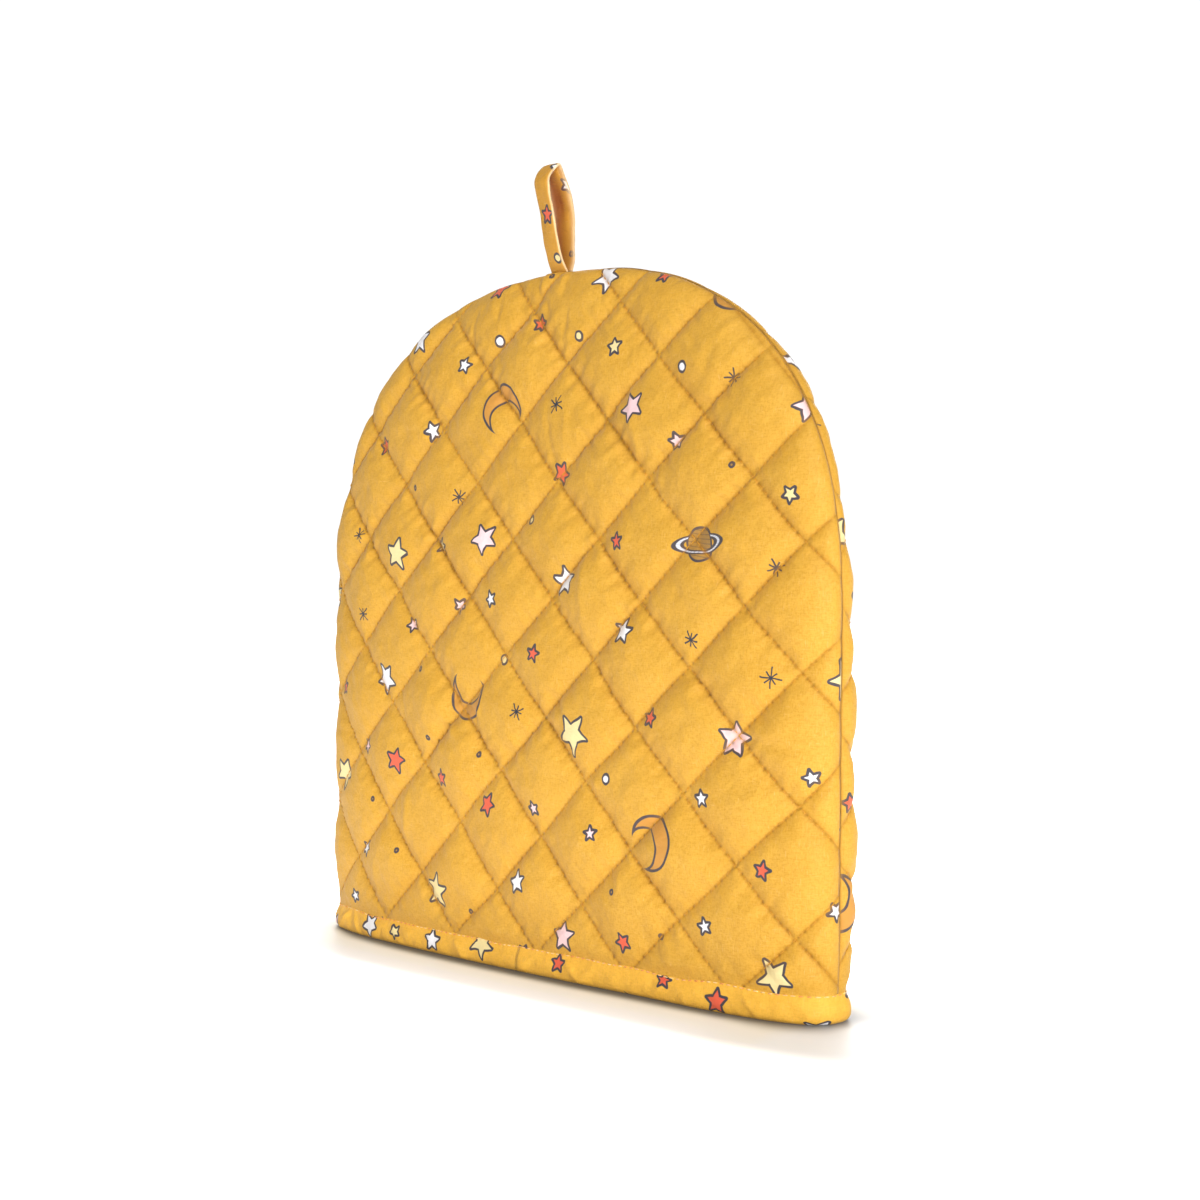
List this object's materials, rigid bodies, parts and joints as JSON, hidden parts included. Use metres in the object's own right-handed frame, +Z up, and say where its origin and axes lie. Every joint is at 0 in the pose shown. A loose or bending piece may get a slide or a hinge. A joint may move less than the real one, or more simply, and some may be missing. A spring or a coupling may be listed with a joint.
{
  "type": "tea cosy",
  "caption": "Domed quilted fabric tea cosy, open at the bound hem it stands on, with a small hanging loop at the top of its seam.",
  "frame": {"origin": "centre of the footprint, on the surface that the hem stands on", "axes": "+Z up towards the hanging loop; +X along the seam plane, to the right seen from the front; the front panel faces -Y"},
  "size_m": [0.2977, 0.0525, 0.336],
  "materials": {
    "quilted_cotton": "plain-woven printed cotton, matt",
    "binding_cotton": "plain-woven printed cotton, matt",
    "loop_cotton": "plain-woven cotton strip, matt"
  },
  "bodies": {
    "root": {"front_panel": "quilted_cotton", "back_panel": "quilted_cotton", "hem_binding": "binding_cotton", "hanging_loop": "loop_cotton"}
  },
  "joints": []
}
